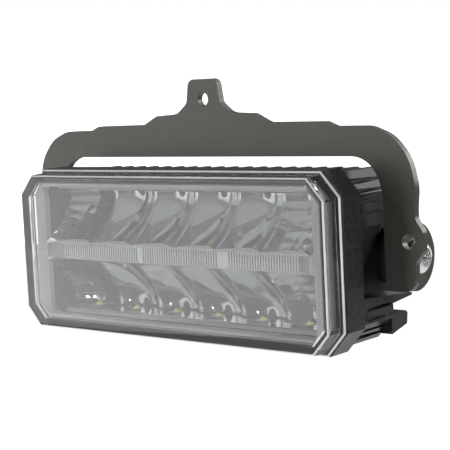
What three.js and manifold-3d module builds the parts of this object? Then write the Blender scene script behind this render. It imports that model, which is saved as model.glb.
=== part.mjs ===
// Rectangular driving / fog light on a stamped mounting bracket.
// Millimetres, +Z up, +X to the right, the lens faces -Y.
// Drawing datum: X = 0 mid-plane, Y = 0 bracket front face, Z = 0 lower edge of the cross-bar.
// At the very end every piece is moved so that the origin sits on the rear mounting face.
import * as THREE from "three";
import { mergeVertices } from "three/addons/utils/BufferGeometryUtils.js";
import Module from "manifold-3d";

const wasm = await Module();
wasm.setup();

// ---- driving dimensions ------------------------------------------------------------------
const GAP = 0.3; // clearance wherever two pieces are fitted but not pressed together

// lamp outline: a rectangle with cut corners, the same centre for every ring of it
const LENS_W = 156;
const LENS_H = 63.6;
const CUT_X = 7;
const CUT_Z = 8;
const LAMP_TOP = -5.25; // top of the lens below the cross-bar
const LAMP_Z = LAMP_TOP - LENS_H / 2;
const LAMP_LOW = LAMP_TOP - LENS_H;

// depth stations, front to back
const LENS_FRONT = -29.8;
const LENS_WALL = 3;
const RIM = -20.3; // lens foot meets the housing rim
const BEZEL_BACK = -9.5;
const WALL_BACK = 12; // outer face of the housing's back wall
const BACK_WALL = 4;
const FIN_BACK = 24;

// pivots that carry the lamp, and the pocket beside each of them
const PIVOT_Y = 16.5;
const PIVOT_Z = LAMP_Z - 1.45;
const LUG_R = 13;
const SIDE_GAP = 5.2; // lens edge to the inner face of the bracket leg
const RECESS_TOP = PIVOT_Z + LUG_R;
const RECESS_LOW = PIVOT_Z - LUG_R + 0.5;
const RECESS_FLOOR = LENS_W / 2 - 4;

// housing
const FOOT = 1.6; // lens foot sticks out past the lens wall
const BEZEL_OUT = 1.9; // bezel past the lens outline
const BODY_OUT = 0.2; // body behind the bezel, past the lens outline
const SHELL = 3.8; // side wall thickness behind the rim
const CAVITY = BODY_OUT - SHELL; // cavity outline, as an offset of the lens outline
const SEAL_W = 2.4;
const SEAL_D = 1.8;
const FIN_T = 2.2;
const FIN_PITCH = 7.4;

// optics: two rows of cells either side of a light bar
const CELLS = 6;
const TRIM_W = LENS_W - 18.6; // opening of the trim frame
const TRIM_H = LENS_H - 10.2;
const CELL_W = (TRIM_W - 4.8) / CELLS;
const OPTIC_FRONT = -23.6;
const TRIM_BACK = OPTIC_FRONT + 6;
const LED_Y = -8;
const LED_LIFT = TRIM_H / 2 - 2.1; // inner face of the reflector base, from the lamp centre
const MIRROR_T = 1.5;
const MIRROR_REAR = -1.5; // mirror face behind the LEDs
const MIRROR_FRONT = -21.8; // mirror edge beside the light bar
const BAR_W = TRIM_W - 3.4;
const BAR_H = 6.4;
const BAR_D = 8;
const RIB_PITCH = 1.25; // between the light bar's ribs
const BAR_END_LEFT = 9; // smooth ends of the light bar
const BAR_END_RIGHT = 3.5;
const BAR_BREAKS = [[-16, -14.4], [25.6, 28.4]]; // smooth breaks in its ribs, along X
const BOARD_W = CELLS * CELL_W - 1;
const BOARD_T = 1.6;
const BASE_T = 0.9; // reflector base plate between the mirror cells and the LED board
const SEAT_W = BOARD_W - 8; // LED board seats on the cavity roof and floor
const LED_SIZE = 3.45;
const LED_BASE = 0.9;

// driver board on its stand-offs
const DRIVER_Y = WALL_BACK - BACK_WALL - 4;
const DRIVER_W = BAR_W - 30;
const DRIVER_H = 34;
const POST_X = DRIVER_W / 2 - 6;
const POST_Z = DRIVER_H / 2 - 5;

// bracket plate and its pivot lugs
const PLATE_T = 3;
const BAR_TOP = 11.1;
const STEP_TOP = BAR_TOP + 2;
const PAD_TOP = STEP_TOP + 3.9;
const TAB_TOP = 30.9;
const TAB_HALF = 7.6;
const TAB_HOLE_Z = TAB_TOP - 8;
const HOLE_D = 5.5;
const LEG_IN = LENS_W / 2 + SIDE_GAP;
const LEG_OUT = LEG_IN + 13.2;
const LEG_LOW = PIVOT_Z - 10.5;
const LEG_HOLE = [LEG_OUT - 3, PIVOT_Z + 7.8];
const BEND_R = 1.2; // inside radius of the fold between leg and lug
const MOUNT_Z = 8; // height of the mounting face centre on the cross-bar

// pivot fasteners
const SCREW_D = 6;
const SCREW_L = 24;
const HEAD_D = 2 * SCREW_D;
const HEAD_H = 3.2;
const WASHER_D = HEAD_D + 1.4;
const WASHER_T = 1.2;
const BOSS_R = LUG_R - 2.4;
const BOSS_FACE = RECESS_FLOOR + 2;
const BOSS_IN = BOSS_FACE - 16;
const INSERT_D = SCREW_D + 3;
const THREAD_GAP = 0.08; // screw in its insert, per side

// rear gland and vent
const GLAND_X = 0;
const GLAND_Z = LAMP_Z - 9;
const GLAND_D = 14;
const CORD_BORE = 5.6;
const VENT_X = -34;
const VENT_D = 8;

// ---- materials ---------------------------------------------------------------------------
const finish = (color, roughness, metalness, extra = {}) =>
  new THREE.MeshStandardMaterial({ color, roughness, metalness, ...extra });
const BLACK_COAT = finish(0x2b2d2b, 0.5, 0.35);
const BRACKET_COAT = finish(0x31332f, 0.55, 0.4);
const CLEAR = finish(0xd8dcdc, 0.05, 0, { transparent: true, opacity: 0.3 });
const SILICONE = finish(0x1a1a1a, 0.85, 0);
const CHROME = finish(0xc8cacb, 0.12, 1);
const SATIN_TRIM = finish(0x9a9b9b, 0.35, 0.5);
const GUIDE = finish(0xe6e8ea, 0.2, 0, { transparent: true, opacity: 0.8 });
const BOARD = finish(0x1c2a20, 0.6, 0.1);
const WHITE_BOARD = finish(0xdadbd6, 0.5, 0.05);
const PHOSPHOR = finish(0xe8c83a, 0.3, 0);
const STAINLESS = finish(0xd2d2ce, 0.22, 1);
const NYLON = finish(0x202121, 0.6, 0);
const BRASS = finish(0xb59a55, 0.3, 1);

// ---- solid helpers -----------------------------------------------------------------------
function toSolid(geometry) {
  const plain = geometry.clone();
  plain.deleteAttribute("normal");
  plain.deleteAttribute("uv");
  const merged = mergeVertices(plain, 1e-4);
  return new wasm.Manifold(
    new wasm.Mesh({
      numProp: 3,
      vertProperties: Float32Array.from(merged.attributes.position.array),
      triVerts: Uint32Array.from(merged.index.array),
    }),
  );
}

function toGeometry(solid) {
  const mesh = solid.getMesh();
  const geometry = new THREE.BufferGeometry();
  geometry.setAttribute("position", new THREE.BufferAttribute(mesh.vertProperties, 3));
  geometry.setIndex(new THREE.BufferAttribute(mesh.triVerts, 1));
  const flat = geometry.toNonIndexed();
  flat.computeVertexNormals();
  return flat;
}

// A block given by its lowest and highest corner.
function block(x0, y0, z0, x1, y1, z1) {
  const box = new THREE.BoxGeometry(x1 - x0, y1 - y0, z1 - z0);
  return toSolid(box.translate((x0 + x1) / 2, (y0 + y1) / 2, (z0 + z1) / 2));
}

// A flat outline of [x, z] points pushed from y0 back to y1.
function slabY(points, y0, y1) {
  const slab = new THREE.ExtrudeGeometry(shapeOf(points), {
    depth: y1 - y0,
    bevelEnabled: false,
  });
  return toSolid(slab.rotateX(Math.PI / 2).translate(0, y1, 0));
}

// A flat outline in Y and Z pushed along X from x0 to x1.
function slabX(points, x0, x1) {
  const slab = new THREE.ExtrudeGeometry(shapeOf(points), {
    depth: x1 - x0,
    bevelEnabled: false,
  });
  slab.applyMatrix4(new THREE.Matrix4().set(0, 0, 1, x0, 1, 0, 0, 0, 0, 1, 0, 0, 0, 0, 0, 1));
  return toSolid(slab);
}

function shapeOf(points) {
  return new THREE.Shape(points.map(([a, b]) => new THREE.Vector2(a, b)));
}

// Points of an outline whose corners are rounded: [a, b, radius] per corner.
function rounded(corners, steps = 5) {
  const out = [];
  corners.forEach(([a, b, r = 0], i) => {
    const before = corners[(i + corners.length - 1) % corners.length];
    const after = corners[(i + 1) % corners.length];
    if (!r) {
      out.push([a, b]);
      return;
    }
    const p = new THREE.Vector2(a, b);
    const u = new THREE.Vector2(before[0] - a, before[1] - b).normalize();
    const v = new THREE.Vector2(after[0] - a, after[1] - b).normalize();
    const half = Math.acos(THREE.MathUtils.clamp(u.dot(v), -1, 1)) / 2;
    const reach = r / Math.tan(half);
    const centre = p.clone().addScaledVector(u.clone().add(v).normalize(), r / Math.sin(half));
    const from = p.clone().addScaledVector(u, reach).sub(centre).angle();
    const to = p.clone().addScaledVector(v, reach).sub(centre).angle();
    let sweep = to - from;
    if (sweep > Math.PI) sweep -= 2 * Math.PI;
    if (sweep < -Math.PI) sweep += 2 * Math.PI;
    for (let k = 0; k <= steps; k++) {
      const t = from + (sweep * k) / steps;
      out.push([centre.x + r * Math.cos(t), centre.y + r * Math.sin(t)]);
    }
  });
  return out;
}

// A turned piece along X: profile rows are [x, radius], from one end on the axis to the other.
function turnedX(profile, y, z, segments = 32) {
  const points = profile.map(([x, r]) => new THREE.Vector2(r, x));
  const lathe = new THREE.LatheGeometry(points, segments).rotateZ(-Math.PI / 2);
  return toSolid(lathe.translate(0, y, z));
}

// A turned piece along Y: profile rows are [y, radius].
function turnedY(profile, x, z, segments = 32) {
  const points = profile.map(([y, r]) => new THREE.Vector2(r, y));
  return toSolid(new THREE.LatheGeometry(points, segments).translate(x, 0, z));
}

// A turned piece along Z: profile rows are [z, radius], measured from height z.
function turnedZ(profile, x, y, z, segments = 24) {
  const points = profile.map(([h, r]) => new THREE.Vector2(r, h));
  return toSolid(new THREE.LatheGeometry(points, segments).rotateX(Math.PI / 2).translate(x, y, z));
}

// The lamp outline grown by an offset: a rectangle with its four corners cut.
function ring(offset) {
  const w = LENS_W / 2 + offset;
  const h = LENS_H / 2 + offset;
  const lean = Math.hypot(CUT_X, CUT_Z);
  const cx = CUT_X + offset * (1 + CUT_X / CUT_Z - lean / CUT_Z);
  const cz = CUT_Z + offset * (1 + CUT_Z / CUT_X - lean / CUT_X);
  return cutRect(w, h, cx, cz);
}

function cutRect(w, h, cx, cz) {
  return [
    [w, -h + cz],
    [w, h - cz],
    [w - cx, h],
    [-w + cx, h],
    [-w, h - cz],
    [-w, -h + cz],
    [-w + cx, -h],
    [w - cx, -h],
  ].map(([x, z]) => [x, z + LAMP_Z]);
}

const mirrorX = (solid) => solid.mirror([1, 0, 0]);
const unite = (solids) => solids.reduce((a, b) => a.add(b));

const part = new THREE.Group();
part.name = "fog_light";
function addPiece(name, solid, material) {
  const mesh = new THREE.Mesh(toGeometry(solid), material);
  mesh.name = name;
  part.add(mesh);
}

// ---- bracket -----------------------------------------------------------------------------
// Corners of the flat outline on the right, from the tab top round to the opening: x, z, radius.
const BRACKET_CORNERS = [
  [TAB_HALF - 0.3, TAB_TOP, 3],
  [8.7, 21.5, 3],
  [14, PAD_TOP + 0.3, 6],
  [25.4, PAD_TOP - 0.3, 4],
  [32.6, STEP_TOP + 0.1, 4],
  [59.2, STEP_TOP - 0.1, 3],
  [63.5, BAR_TOP + 0.1, 3],
  [LEG_OUT - 17.5, BAR_TOP, 14],
  [LEG_OUT - 8.6, 7.6, 15],
  [LEG_OUT - 1.6, -0.4, 18],
  [LEG_OUT + 0.8, -11, 16],
  [LEG_OUT, -19, 16],
  [LEG_OUT, LEG_HOLE[1] + 8.3, 4],
  [LEG_OUT + 3.1, LEG_HOLE[1] + 3.9, 4],
  [LEG_OUT + 3.1, LEG_HOLE[1] - 3.5, 4],
  [LEG_OUT - 0.4, LEG_HOLE[1] - 7.8, 4],
  [LEG_OUT - 0.6, LEG_LOW, 4.5],
  [LEG_IN, LEG_LOW, 0],
  [LEG_IN, -13.7, 20],
  [LEG_IN - 1.2, -8.8, 14],
  [LEG_IN - 4.2, -3.6, 10],
  [LEG_IN - 9.5, 0, 12],
];

function bracketOutline() {
  const left = BRACKET_CORNERS.map(([x, z, r]) => [-x, z, r]).reverse();
  return rounded([...BRACKET_CORNERS, ...left], 6);
}

// The lug folded back 90 degrees off the leg's inner edge: a slab with a round end, bored.
function pivotLug() {
  const top = PIVOT_Z + LUG_R;
  const low = PIVOT_Z - LUG_R;
  const round = [];
  for (let k = 0; k <= 16; k++) {
    const t = Math.PI / 2 - (Math.PI * k) / 16;
    round.push([PIVOT_Y + LUG_R * Math.cos(t), PIVOT_Z + LUG_R * Math.sin(t)]);
  }
  const corner = LEG_IN + PLATE_T;
  const foldX = corner + BEND_R;
  const foldY = PLATE_T + BEND_R;
  const foldZ = low + 4; // the inside fillet runs up from here, one lug radius long
  const fillet = turnedZ([[0, 0], [0, BEND_R], [LUG_R, BEND_R], [LUG_R, 0]], foldX, foldY, 0);
  const bend = block(corner - 0.5, PLATE_T - 0.5, foldZ, foldX, foldY, foldZ + LUG_R)
    .subtract(fillet.translate([0, 0, foldZ]));
  return slabX([[0, low + 2.5], [0, top - 2.5], ...round], LEG_IN, corner)
    .add(bend)
    .subtract(boreX(SCREW_D / 2 + GAP, LEG_IN - 1, corner + 1));
}

// A bore along X on the pivot axis.
function boreX(r, x0, x1) {
  return turnedX([[x0, 0], [x0, r], [x1, r], [x1, 0]], PIVOT_Y, PIVOT_Z);
}

// A bore along Y through a plate.
function boreY(r, x, z, y0, y1, segments = 24) {
  return turnedY([[y0, 0], [y0, r], [y1, r], [y1, 0]], x, z, segments);
}

function bracket() {
  let plate = slabY(bracketOutline(), 0, PLATE_T);
  for (const [x, z] of [[0, TAB_HOLE_Z], LEG_HOLE, [-LEG_HOLE[0], LEG_HOLE[1]]])
    plate = plate.subtract(boreY(HOLE_D / 2, x, z, -1, PLATE_T + 1));
  const lug = pivotLug();
  return plate.add(lug).add(mirrorX(lug));
}

addPiece("bracket_plate", bracket(), BRACKET_COAT);

// ---- housing -----------------------------------------------------------------------------
function housingShell() {
  const bezel = slabY(ring(BEZEL_OUT), RIM, BEZEL_BACK);
  const body = slabY(ring(BODY_OUT), BEZEL_BACK, WALL_BACK);
  return bezel.add(body);
}

function housingCavity() {
  const cavity = slabY(ring(CAVITY), RIM - 1, WALL_BACK - BACK_WALL);
  const past = 2; // the pocket walls stand inside the recess floor
  const side = RECESS_FLOOR - SHELL;
  const keep = block(side, BEZEL_BACK, RECESS_LOW - past, LENS_W, WALL_BACK, RECESS_TOP + past);
  return cavity.subtract(keep).subtract(mirrorX(keep));
}

// What stands inside the cavity: the two LED board seats and the driver board's stand-offs.
function innerSeats() {
  const seats = [];
  const wall = LENS_H / 2 + CAVITY;
  const board = LED_LIFT + BASE_T + BOARD_T;
  for (const side of [1, -1]) {
    const z = [LAMP_Z + side * board, LAMP_Z + side * (wall + 0.5)].sort((a, b) => a - b);
    const y1 = WALL_BACK - BACK_WALL + 1;
    seats.push(block(-SEAT_W / 2, TRIM_BACK + 2, z[0], SEAT_W / 2, y1, z[1]));
  }
  for (const [sx, sz] of [[-1, 1], [1, 1], [-1, -1], [1, -1]]) {
    const [x, z] = [sx * POST_X, LAMP_Z + sz * POST_Z];
    seats.push(boreY(2.6, x, z, DRIVER_Y + BOARD_T, WALL_BACK - BACK_WALL + 1, 16));
  }
  return unite(seats);
}

// Upright cooling fins across the back; their ends follow the cut corners of the lamp.
function rearFins() {
  const fins = [];
  const count = 2 * Math.floor((LENS_W / 2 - CUT_X - 3) / FIN_PITCH);
  const low = LAMP_LOW;
  const high = LAMP_TOP;
  const side = [
    [WALL_BACK - 1, low],
    [WALL_BACK + 6, low + 0.8],
    [FIN_BACK, low + 4],
    [FIN_BACK, high - 5],
    [WALL_BACK + 7, high],
    [WALL_BACK - 1, high],
  ];
  for (let i = 0; i <= count; i++) {
    const x = (i - count / 2) * FIN_PITCH;
    fins.push(slabX(side, x - FIN_T / 2, x + FIN_T / 2));
  }
  return unite(fins);
}

// End walls beyond the last fin, drawn back over the pocket's ledge and the lower corner.
function endWings() {
  const out = LENS_W / 2;
  const wings = [
    [
      [WALL_BACK - 1, RECESS_LOW - 5],
      [WALL_BACK - 1, RECESS_LOW - 1.6],
      [FIN_BACK + 1.5, RECESS_LOW - 2.6],
      [FIN_BACK + 1.5, RECESS_LOW - 3.6],
    ],
    [
      [WALL_BACK - 1, LAMP_LOW + 1.4],
      [WALL_BACK - 1, LAMP_LOW + 8.9],
      [FIN_BACK - 3, LAMP_LOW + 8.9],
      [FIN_BACK - 2, LAMP_LOW + 7.9],
      [FIN_BACK - 2.6, LAMP_LOW + 3.9],
    ],
    [
      [WALL_BACK - 1, RECESS_TOP],
      [WALL_BACK - 1, RECESS_TOP + 4],
      [FIN_BACK - 2, RECESS_TOP + 4],
      [FIN_BACK, RECESS_TOP],
    ],
  ];
  return unite(wings.map((outline) => slabX(outline, BOSS_IN, out)));
}

// Grooves cast into each side wall and into the cut corners: height, front end, width at the
// front, and depth inside the body's side face. Each one narrows towards the rear.
const SLOT_TAPER = 0.45;
const SIDE_SLOTS = [
  [LAMP_TOP - 3.5, -7, 2.2, 7.5],
  [LAMP_TOP - 6.9, -7, 1.6, 4.2],
  [RECESS_TOP + 9.5, -6, 1.8, 2.6],
  [RECESS_TOP + 5.5, -6, 1.6, 2.6],
  [RECESS_LOW - 4.6, -5, 1.6, 2.6],
  [RECESS_LOW - 8.2, -5.5, 2.2, 2.6],
  [LAMP_LOW + 5.1, -6, 1.5, 4.6],
  [LAMP_LOW + 2.4, -6, 2, 7],
];

function sideSlots() {
  const face = LENS_W / 2 + BODY_OUT;
  const end = WALL_BACK + 1;
  const slots = SIDE_SLOTS.map(([z, y, h, d]) => {
    const front = h / 2;
    const rear = front * SLOT_TAPER;
    const outline = [
      [y, z - front, front * 0.8],
      [end, z - rear],
      [end, z + rear],
      [y, z + front, front * 0.8],
    ];
    return slabX(rounded(outline, 3), face - d, face + 5);
  });
  const all = unite(slots);
  return all.add(mirrorX(all));
}

// The pocket beside each pivot, open to the rear.
function sideRecess() {
  const pocket = slabX(
    [
      [BEZEL_BACK, RECESS_LOW],
      [FIN_BACK + 5, RECESS_LOW - 3],
      [FIN_BACK + 5, RECESS_TOP],
      [BEZEL_BACK, RECESS_TOP],
    ],
    RECESS_FLOOR,
    LENS_W,
  );
  return pocket.add(mirrorX(pocket));
}

// Solid boss that carries the threaded insert of one pivot.
function pivotBoss() {
  const boss = turnedX(
    [[BOSS_IN, 0], [BOSS_IN, BOSS_R], [BOSS_FACE, BOSS_R], [BOSS_FACE, 0]],
    PIVOT_Y,
    PIVOT_Z,
    40,
  );
  const web = block(BOSS_IN, WALL_BACK - 1, PIVOT_Z - 4, RECESS_FLOOR, FIN_BACK, PIVOT_Z + 4);
  return boss.add(web);
}

function housing() {
  let body = housingShell().subtract(sideRecess()).subtract(sideSlots());
  const boss = pivotBoss();
  const bores = boreX(INSERT_D / 2 + 0.01, BOSS_IN + 2, BOSS_FACE + 1);
  const wings = endWings();
  body = body.add(rearFins()).add(wings).add(mirrorX(wings)).add(boss).add(mirrorX(boss));
  body = body.subtract(bores).subtract(mirrorX(bores));
  const seat = BEZEL_OUT - FOOT;
  const groove = slabY(ring(seat - 0.4), RIM - 1, RIM + SEAL_D)
    .subtract(slabY(ring(seat - 0.4 - SEAL_W), RIM - 2, RIM + SEAL_D + 1));
  body = body.subtract(groove).subtract(housingCavity()).add(innerSeats());
  body = body.subtract(boreY(GLAND_D / 2, GLAND_X, GLAND_Z, 0, FIN_BACK + 4));
  body = body.subtract(boreY(GLAND_D / 2 + 4.5, GLAND_X, GLAND_Z, WALL_BACK, FIN_BACK + 4, 32));
  body = body.subtract(boreY(VENT_D / 2, VENT_X, GLAND_Z, 0, FIN_BACK + 4));
  return body.subtract(boreY(VENT_D / 2 + 3.5, VENT_X, GLAND_Z, WALL_BACK, FIN_BACK + 4, 32));
}

addPiece("housing", housing(), BLACK_COAT);

// ---- lens and its seal -------------------------------------------------------------------
function lens() {
  const wall = slabY(ring(0), LENS_FRONT, RIM);
  const foot = slabY(ring(FOOT), RIM - 1.6, RIM);
  const hollow = slabY(ring(-LENS_WALL), LENS_FRONT + LENS_WALL, RIM + 1);
  return wall.add(foot).subtract(hollow);
}

function lensSeal() {
  const outer = BEZEL_OUT - FOOT - 0.4;
  const ringOut = slabY(ring(outer - 0.15), RIM, RIM + SEAL_D);
  return ringOut.subtract(slabY(ring(outer - SEAL_W + 0.15), RIM - 1, RIM + SEAL_D + 1));
}

addPiece("lens", lens(), CLEAR);
addPiece("lens_seal", lensSeal(), SILICONE);

// ---- optics ------------------------------------------------------------------------------
// Section of one mirror row in Y and Z: it starts behind the LEDs and sweeps forward to the bar.
function mirrorSection(side) {
  const front = [];
  const steps = 9;
  const start = LAMP_Z + side * LED_LIFT;
  const end = LAMP_Z + (side * BAR_H) / 2;
  for (let k = 0; k <= steps; k++) {
    const t = k / steps;
    front.push([MIRROR_REAR + (MIRROR_FRONT - MIRROR_REAR) * t * t, start + (end - start) * t]);
  }
  const behind = front.map(([y, z]) => [y + MIRROR_T, z]).reverse();
  const outline = [...front, ...behind];
  return side > 0 ? outline : outline.reverse();
}

// One row of reflector cells: a curved mirror, fins between the cells, and a base plate.
function reflector(side) {
  const half = TRIM_W / 2 + 0.8;
  const base0 = LAMP_Z + side * LED_LIFT;
  const bar0 = LAMP_Z + (side * BAR_H) / 2;
  const fin = [
    [MIRROR_REAR + MIRROR_T / 2, base0],
    [MIRROR_FRONT + MIRROR_T / 2, bar0],
    [MIRROR_FRONT, bar0 + side * 3],
    [LED_Y - 6, base0 - side * 6],
    [LED_Y - 7, base0],
  ];
  const outline = side > 0 ? fin : fin.slice().reverse();
  const pieces = [slabX(mirrorSection(side), -half, half)];
  for (let i = 0; i <= CELLS; i++) {
    const x = i === 0 ? -half + 0.5 : i === CELLS ? half - 0.5 : (i - CELLS / 2) * CELL_W;
    pieces.push(slabX(outline, x - 0.5, x + 0.5));
  }
  const z0 = Math.min(base0, base0 + side * BASE_T);
  let base = block(-BOARD_W / 2, MIRROR_FRONT + 1, z0, BOARD_W / 2, MIRROR_REAR + MIRROR_T, z0 + BASE_T);
  const hole = LED_SIZE / 2 + 0.8;
  for (let i = 0; i < CELLS; i++) {
    const x = (i + 0.5 - CELLS / 2) * CELL_W;
    base = base.subtract(block(x - hole, LED_Y - hole, z0 - 1, x + hole, LED_Y + hole, z0 + 2));
  }
  return unite([base, ...pieces]);
}

addPiece("reflector_upper", reflector(1), CHROME);
addPiece("reflector_lower", reflector(-1), CHROME);

// Light bar: clear bar with fine upright ribs on its face and a foot that takes the light in.
function lightBar() {
  const z0 = LAMP_Z - BAR_H / 2;
  const bar = block(-BAR_W / 2, OPTIC_FRONT, z0, BAR_W / 2, OPTIC_FRONT + BAR_D, z0 + BAR_H);
  const notches = [];
  const low = z0 + 0.8;
  const high = z0 + BAR_H - 0.8;
  for (let x = -BAR_W / 2 + BAR_END_LEFT; x < BAR_W / 2 - BAR_END_RIGHT; x += RIB_PITCH) {
    if (BAR_BREAKS.some(([a, b]) => x > a - RIB_PITCH && x < b)) continue;
    notches.push(block(x, OPTIC_FRONT - 1, low, x + RIB_PITCH / 2, OPTIC_FRONT + 0.5, high));
  }
  return bar.subtract(unite(notches));
}

addPiece("light_bar", lightBar(), GUIDE);

// Carrier behind the light bar, and the strip of small LEDs it holds.
const CARRIER_Y = OPTIC_FRONT + BAR_D;
const CARRIER_POST = BAR_W / 2 - 7;
function barCarrier() {
  const h = BAR_H / 2;
  const end = WALL_BACK - BACK_WALL;
  const plate = block(-BAR_W / 2, CARRIER_Y + 1.2, LAMP_Z - h, BAR_W / 2, CARRIER_Y + 3.2, LAMP_Z + h);
  const posts = [-CARRIER_POST, CARRIER_POST].map((x) =>
    block(x - 2, CARRIER_Y + 3, LAMP_Z - 2, x + 2, end, LAMP_Z + 2),
  );
  return unite([plate, ...posts]);
}

addPiece("light_bar_carrier", barCarrier(), NYLON);
addPiece(
  "light_bar_board",
  block(-BAR_W / 2 + 2, CARRIER_Y + 0.1, LAMP_Z - 2.4, BAR_W / 2 - 2, CARRIER_Y + 1.2, LAMP_Z + 2.4),
  WHITE_BOARD,
);

// Trim frame that hides the edges of the optics.
function trimFrame() {
  const outer = slabY(ring(CAVITY - GAP), OPTIC_FRONT - 0.4, TRIM_BACK);
  const w = TRIM_W / 2;
  const h = TRIM_H / 2;
  const open = slabY(cutRect(w, h, 1.5, 1.5), OPTIC_FRONT - 2, OPTIC_FRONT + 8);
  const behind = slabY(ring(CAVITY - GAP - 1.6), OPTIC_FRONT + 1.2, OPTIC_FRONT + 8);
  return outer.subtract(open).subtract(behind);
}

addPiece("trim_frame", trimFrame(), SATIN_TRIM);

// ---- LED boards and LEDs -----------------------------------------------------------------
function ledBoard(side) {
  const z = LAMP_Z + side * (LED_LIFT + BASE_T);
  const z0 = side > 0 ? z : z - BOARD_T;
  const y1 = MIRROR_REAR + MIRROR_T;
  return block(-BOARD_W / 2, TRIM_BACK + GAP, z0, BOARD_W / 2, y1, z0 + BOARD_T);
}

// Square ceramic base with a round yellow dome.
function led(side, x) {
  const foot = LED_LIFT + BASE_T;
  const dome = [[0, 0], [0, 1.5], [0.5, 1.4], [1.0, 1.0], [1.3, 0]];
  const z = LAMP_Z + side * foot;
  const half = LED_SIZE / 2;
  const low = Math.min(z, z - side * LED_BASE);
  const base = block(x - half, LED_Y - half, low, x + half, LED_Y + half, low + LED_BASE);
  const top = turnedZ(dome, x, LED_Y, 0, 16);
  const placed = side > 0 ? top.mirror([0, 0, 1]) : top;
  return base.add(placed.translate([0, 0, z - side * (LED_BASE - 0.05)]));
}

for (const [row, side] of [["upper", 1], ["lower", -1]]) {
  addPiece("led_board_" + row, ledBoard(side), WHITE_BOARD);
  for (let i = 0; i < CELLS; i++)
    addPiece("led_" + row + "_" + (i + 1), led(side, (i - (CELLS - 1) / 2) * CELL_W), PHOSPHOR);
}

// ---- driver board ------------------------------------------------------------------------
function driverBoard() {
  const w = DRIVER_W / 2;
  const h = DRIVER_H / 2;
  const r = GLAND_D / 2 + 1;
  return block(-w, DRIVER_Y, LAMP_Z - h, w, DRIVER_Y + BOARD_T, LAMP_Z + h)
    .subtract(block(-r, DRIVER_Y - 1, GLAND_Z - r, r, DRIVER_Y + 4, GLAND_Z + r));
}

addPiece("driver_board", driverBoard(), BOARD);

// ---- pivot fasteners ---------------------------------------------------------------------
function pivotScrew() {
  const seat = LEG_IN + PLATE_T + WASHER_T;
  const tip = seat - SCREW_L;
  const screw = turnedX(
    [
      [tip, 0],
      [tip, SCREW_D / 2 - 0.6],
      [tip + 0.8, SCREW_D / 2],
      [seat, SCREW_D / 2],
      [seat, HEAD_D / 2],
      [seat + HEAD_H * 0.45, HEAD_D / 2],
      [seat + HEAD_H * 0.85, HEAD_D / 2 - 1.4],
      [seat + HEAD_H, HEAD_D / 2 - 3],
      [seat + HEAD_H, 0],
    ],
    PIVOT_Y,
    PIVOT_Z,
  );
  const lobes = [];
  for (let k = 0; k < 6; k++) {
    const t = (Math.PI * k) / 3;
    const x0 = seat + HEAD_H - 2;
    lobes.push(
      turnedX(
        [[x0, 0], [x0, 0.8], [seat + HEAD_H + 1, 0.8], [seat + HEAD_H + 1, 0]],
        PIVOT_Y + 1.9 * Math.cos(t),
        PIVOT_Z + 1.9 * Math.sin(t),
        10,
      ),
    );
  }
  lobes.push(boreX(1.7, seat + HEAD_H - 2, seat + HEAD_H + 1));
  return screw.subtract(unite(lobes));
}

// A tube on the pivot axis.
function tubeX(rOut, rIn, x0, x1) {
  return boreX(rOut, x0, x1).subtract(boreX(rIn, x0 - 1, x1 + 1));
}

for (const [hand, place] of [["right", (s) => s], ["left", mirrorX]]) {
  const lugOut = LEG_IN + PLATE_T;
  const shank = SCREW_D / 2;
  const washer = tubeX(WASHER_D / 2, shank + 0.2, lugOut, lugOut + WASHER_T);
  const spacer = tubeX(BOSS_R, shank + GAP, BOSS_FACE, LEG_IN);
  const insert = tubeX(INSERT_D / 2, shank + THREAD_GAP, BOSS_IN + 2, BOSS_FACE - 0.5);
  addPiece("pivot_screw_" + hand, place(pivotScrew()), STAINLESS);
  addPiece("pivot_washer_" + hand, place(washer), STAINLESS);
  addPiece("pivot_spacer_" + hand, place(spacer), NYLON);
  addPiece("pivot_insert_" + hand, place(insert), BRASS);
}

// ---- cable gland and vent ----------------------------------------------------------------
function glandBody() {
  return turnedY(
    [
      [WALL_BACK - BACK_WALL - 3, 0],
      [WALL_BACK - BACK_WALL - 3, GLAND_D / 2 - 1],
      [WALL_BACK - BACK_WALL, GLAND_D / 2 - GAP],
      [WALL_BACK, GLAND_D / 2 - GAP],
      [WALL_BACK, GLAND_D / 2 + 2.5],
      [WALL_BACK + 3, GLAND_D / 2 + 2.5],
      [WALL_BACK + 3, GLAND_D / 2 - 1],
      [WALL_BACK + 7, GLAND_D / 2 - 1],
      [WALL_BACK + 7, 0],
    ],
    GLAND_X,
    GLAND_Z,
  ).subtract(boreY(CORD_BORE / 2 + 1.6, GLAND_X, GLAND_Z, 0, WALL_BACK + 9));
}

function glandNut() {
  const flats = 6;
  const r = GLAND_D / 2 + 2.4;
  const hex = [];
  for (let k = 0; k < flats; k++) {
    const t = (2 * Math.PI * k) / flats;
    hex.push([GLAND_X + r * Math.cos(t), GLAND_Z + r * Math.sin(t)]);
  }
  return slabY(hex, WALL_BACK + 3, WALL_BACK + 11)
    .subtract(boreY(GLAND_D / 2 - 1 + GAP, GLAND_X, GLAND_Z, WALL_BACK + 2, WALL_BACK + 7.3))
    .subtract(boreY(CORD_BORE / 2 + 0.4, GLAND_X, GLAND_Z, WALL_BACK + 6, WALL_BACK + 12));
}

function glandSeal() {
  return boreY(CORD_BORE / 2 + 1.5, GLAND_X, GLAND_Z, WALL_BACK - 2, WALL_BACK + 7)
    .subtract(boreY(CORD_BORE / 2, GLAND_X, GLAND_Z, WALL_BACK - 3, WALL_BACK + 8));
}

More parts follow.
